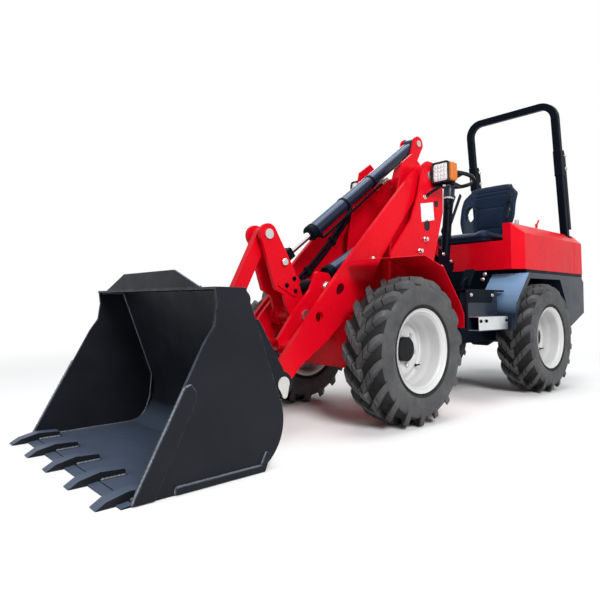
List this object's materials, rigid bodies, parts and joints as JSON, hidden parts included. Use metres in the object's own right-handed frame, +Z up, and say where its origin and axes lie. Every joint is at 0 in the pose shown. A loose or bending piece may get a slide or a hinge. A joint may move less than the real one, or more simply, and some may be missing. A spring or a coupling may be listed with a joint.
{
  "type": "mini wheel loader",
  "caption": "Compact articulated wheel loader with an open driver's seat, roll bar, lift arms with a bellcrank linkage and a toothed bucket.",
  "frame": {"origin": "on the ground under the middle of the whole machine, bucket teeth to tail", "axes": "+X forward to the bucket, +Y to the driver's left, +Z up"},
  "size_m": [4.075, 1.145, 2.3543],
  "materials": {
    "red": "gloss",
    "charcoal": "satin",
    "slate": "satin",
    "black": "satin",
    "barrel": "gloss",
    "rod": "polished",
    "pin_steel": "brushed",
    "casting": "rough",
    "bright_plate": "satin",
    "vinyl": "satin",
    "wheel_rubber": "matte",
    "tyre": "matte",
    "rim": "satin"
  },
  "bodies": {
    "rear_frame": {"rear_frame": "slate", "rear_axle": "casting", "steer_pins": "pin_steel", "engine_block": "casting", "counterweight": "slate", "floor_plate": "black", "side_steps": "slate", "step_plates": "bright_plate", "rear_mudguards": "slate", "hood": "red", "tail_cover": "red", "tank_box": "black", "hood_frame": "black", "seat_cushion": "vinyl", "seat_back": "vinyl", "rops_posts": "black", "rops_hoop": "black", "steering_column": "black", "steering_wheel": "wheel_rubber"},
    "front_frame": {"front_frame": "red", "front_axle": "casting", "boom_pivot_pins": "pin_steel", "cylinder_base_pins": "pin_steel", "front_fenders": "red", "headlamps": "black"},
    "boom": {"boom": "red"},
    "bucket_hinge": {"bucket_pins": "pin_steel"},
    "bucket": {"bucket_shell": "charcoal", "cutting_edge": "charcoal", "bucket_teeth": "charcoal", "spill_guard": "charcoal"},
    "bellcrank_hinge": {"bellcrank_pin": "pin_steel"},
    "bellcrank": {"bellcrank": "red"},
    "link_hinge": {"link_pin": "pin_steel"},
    "link": {"tilt_link": "red"},
    "tilt_barrel": {"tilt_barrel": "barrel"},
    "tilt_rod": {"tilt_rod": "rod"},
    "lift_barrel": {"lift_barrel": "barrel"},
    "lift_rod": {"lift_rod": "rod"},
    "steer_barrel": {"steer_barrel": "barrel"},
    "steer_rod": {"steer_rod": "rod"},
    "wheel_front_left": {"tyre_front_left": "tyre", "rim_front_left": "rim"},
    "wheel_front_right": {"tyre_front_right": "tyre", "rim_front_right": "rim"},
    "wheel_rear_left": {"tyre_rear_left": "tyre", "rim_rear_left": "rim"},
    "wheel_rear_right": {"tyre_rear_right": "tyre", "rim_rear_right": "rim"}
  },
  "joints": [
    {"name": "steer", "type": "hinge", "parent": "rear_frame", "child": "front_frame", "pos_m": [-0.3975, 0, 0.5], "axis": [0, 0, 1], "range_deg": [-40, 40]},
    {"name": "boom_lift", "type": "hinge", "parent": "front_frame", "child": "boom", "pos_m": [-0.1075, 0, 1.445], "axis": [0, -1, 0], "range_deg": [0, 80]},
    {"name": "bucket_level", "type": "hinge", "parent": "boom", "child": "bucket_hinge", "pos_m": [1.1025, 0, 0.262], "axis": [0, -1, 0], "range_deg": [-80.5, 0.5]},
    {"name": "bucket_tilt", "type": "hinge", "parent": "bucket_hinge", "child": "bucket", "pos_m": [1.1025, 0, 0.262], "axis": [0, 1, 0], "range_deg": [-30, 45]},
    {"name": "bellcrank_level", "type": "hinge", "parent": "boom", "child": "bellcrank_hinge", "pos_m": [0.8275, 0, 0.565], "axis": [0, -1, 0], "range_deg": [-67, 0.5]},
    {"name": "bellcrank_tilt", "type": "hinge", "parent": "bellcrank_hinge", "child": "bellcrank", "pos_m": [0.8275, 0, 0.565], "axis": [0, 1, 0], "range_deg": [-26, 38.5]},
    {"name": "link_level", "type": "hinge", "parent": "bellcrank", "child": "link_hinge", "pos_m": [1.0225, 0, 0.99], "axis": [0, -1, 0], "range_deg": [-0.5, 73]},
    {"name": "link_swing", "type": "hinge", "parent": "link_hinge", "child": "link", "pos_m": [1.0225, 0, 0.99], "axis": [0, 1, 0], "range_deg": [-41, 27.5]},
    {"name": "tilt_cylinder_swing", "type": "hinge", "parent": "front_frame", "child": "tilt_barrel", "pos_m": [-0.2895, 0, 1.74], "axis": [0, -1, 0], "range_deg": [-0.5, 67]},
    {"name": "tilt_cylinder_stroke", "type": "slide", "parent": "tilt_barrel", "child": "tilt_rod", "axis": [0.8049, 0, -0.5935], "range_m": [-0.112, 0.167]},
    {"name": "lift_cylinder_swing", "type": "hinge", "parent": "front_frame", "child": "lift_barrel", "pos_m": [-0.0675, 0, 1.125], "axis": [0, -1, 0], "range_deg": [-0.5, 81]},
    {"name": "lift_cylinder_stroke", "type": "slide", "parent": "lift_barrel", "child": "lift_rod", "axis": [0.8813, 0, -0.4725], "range_m": [-0.002, 0.421]},
    {"name": "steer_cylinder_swing", "type": "hinge", "parent": "rear_frame", "child": "steer_barrel", "pos_m": [-0.9575, -0.15, 0.5], "axis": [0, 0, 1], "range_deg": [-1.5, 1.5]},
    {"name": "steer_cylinder_stroke", "type": "slide", "parent": "steer_barrel", "child": "steer_rod", "axis": [1, 0, 0], "range_m": [-0.099, 0.099]},
    {"name": "front_left_spin", "type": "hinge", "parent": "front_frame", "child": "wheel_front_left", "pos_m": [0.385, 0.44, 0.39], "axis": [0, 1, 0], "continuous": true},
    {"name": "front_right_spin", "type": "hinge", "parent": "front_frame", "child": "wheel_front_right", "pos_m": [0.385, -0.44, 0.39], "axis": [0, 1, 0], "continuous": true},
    {"name": "rear_left_spin", "type": "hinge", "parent": "rear_frame", "child": "wheel_rear_left", "pos_m": [-1.18, 0.44, 0.39], "axis": [0, 1, 0], "continuous": true},
    {"name": "rear_right_spin", "type": "hinge", "parent": "rear_frame", "child": "wheel_rear_right", "pos_m": [-1.18, -0.44, 0.39], "axis": [0, 1, 0], "continuous": true}
  ],
  "couplings": [
    {"joint": "bucket_level", "follows": "boom_lift", "ratio": -1},
    {"joint": "bellcrank_level", "follows": "boom_lift", "ratio": -0.831},
    {"joint": "bellcrank_tilt", "follows": "bucket_tilt", "ratio": 0.843},
    {"joint": "link_level", "follows": "boom_lift", "ratio": 0.906},
    {"joint": "link_swing", "follows": "bucket_tilt", "ratio": -0.899},
    {"joint": "tilt_cylinder_swing", "follows": "boom_lift", "ratio": 0.829},
    {"joint": "tilt_cylinder_stroke", "follows": "bucket_tilt", "m_per_rad": 0.211},
    {"joint": "lift_cylinder_swing", "follows": "boom_lift", "ratio": 1.007},
    {"joint": "lift_cylinder_stroke", "follows": "boom_lift", "m_per_rad": 0.3},
    {"joint": "steer_cylinder_swing", "follows": "steer", "ratio": 0.034},
    {"joint": "steer_cylinder_stroke", "follows": "steer", "m_per_rad": 0.1395}
  ]
}
